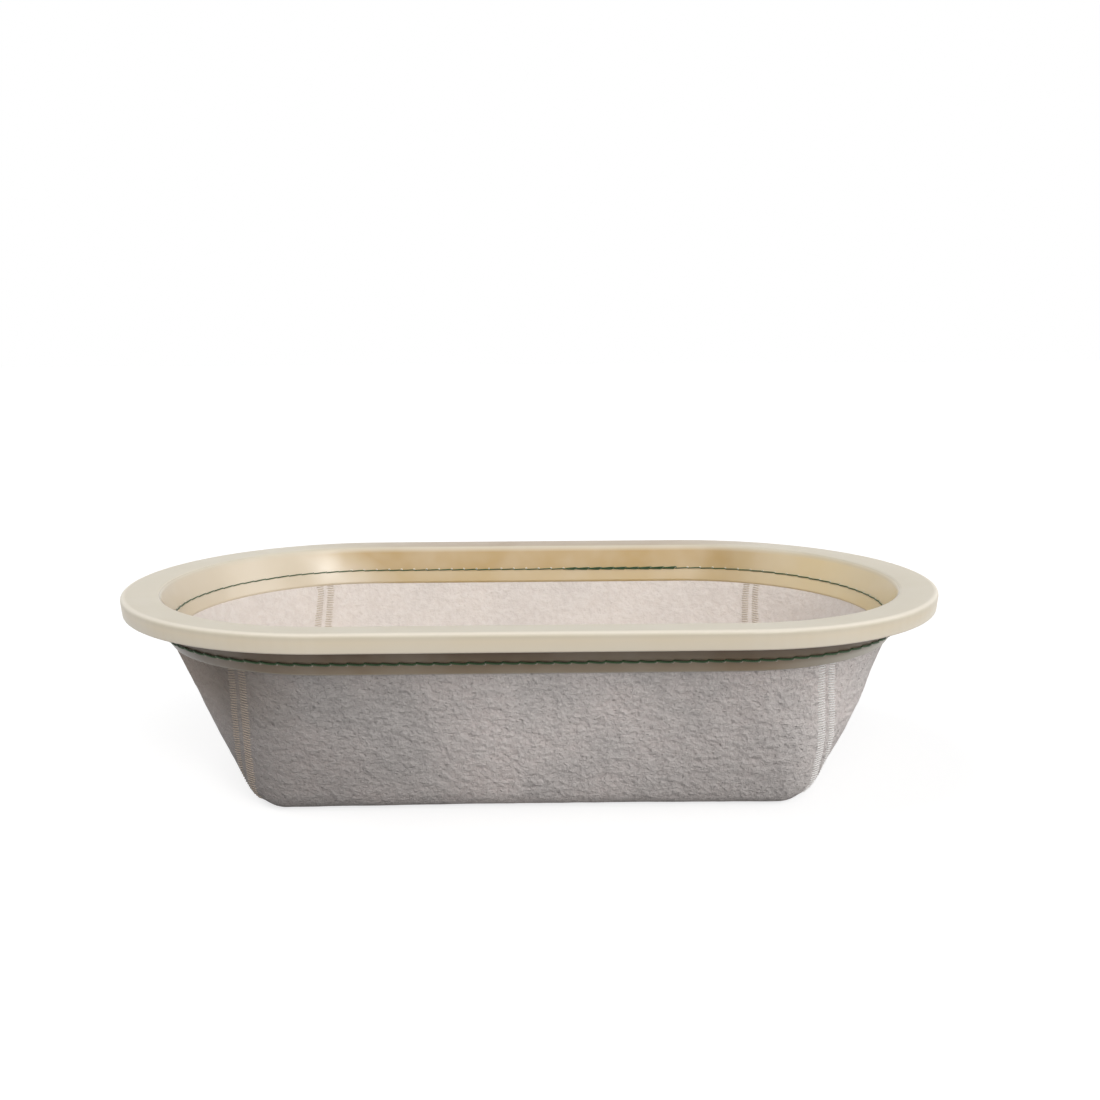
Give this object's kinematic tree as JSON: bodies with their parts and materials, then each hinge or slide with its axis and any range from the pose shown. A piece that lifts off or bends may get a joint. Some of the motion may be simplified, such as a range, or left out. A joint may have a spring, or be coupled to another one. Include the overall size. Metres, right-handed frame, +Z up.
{
  "type": "proofing basket",
  "caption": "Oblong bread proofing basket: a felt tub with zigzag-sewn corners, stitched in green thread between a moulded plastic rim and an outer band.",
  "frame": {"origin": "centre of the underside of the felt floor", "axes": "+X along the length, +Y across the width towards the back, +Z up out of the mouth"},
  "size_m": [0.32, 0.178, 0.079],
  "materials": {
    "rim_plastic": "waxy beige moulded plastic, softly glossy",
    "felt": "off-white needle felt, fuzzy outside and smoother inside",
    "green_thread": "dark green twisted sewing thread",
    "white_thread": "off-white sewing thread"
  },
  "bodies": {
    "root": {"rim_frame": "rim_plastic", "outer_band": "rim_plastic", "felt_body": "felt", "rim_needle_thread": "green_thread", "rim_bobbin_thread": "green_thread", "back_right_seam_1_needle_thread": "white_thread", "back_right_seam_1_bobbin_thread": "white_thread", "back_right_seam_2_needle_thread": "white_thread", "back_right_seam_2_bobbin_thread": "white_thread", "back_left_seam_1_needle_thread": "white_thread", "back_left_seam_1_bobbin_thread": "white_thread", "back_left_seam_2_needle_thread": "white_thread", "back_left_seam_2_bobbin_thread": "white_thread", "front_left_seam_1_needle_thread": "white_thread", "front_left_seam_1_bobbin_thread": "white_thread", "front_left_seam_2_needle_thread": "white_thread", "front_left_seam_2_bobbin_thread": "white_thread", "front_right_seam_1_needle_thread": "white_thread", "front_right_seam_1_bobbin_thread": "white_thread", "front_right_seam_2_needle_thread": "white_thread", "front_right_seam_2_bobbin_thread": "white_thread"}
  },
  "joints": []
}
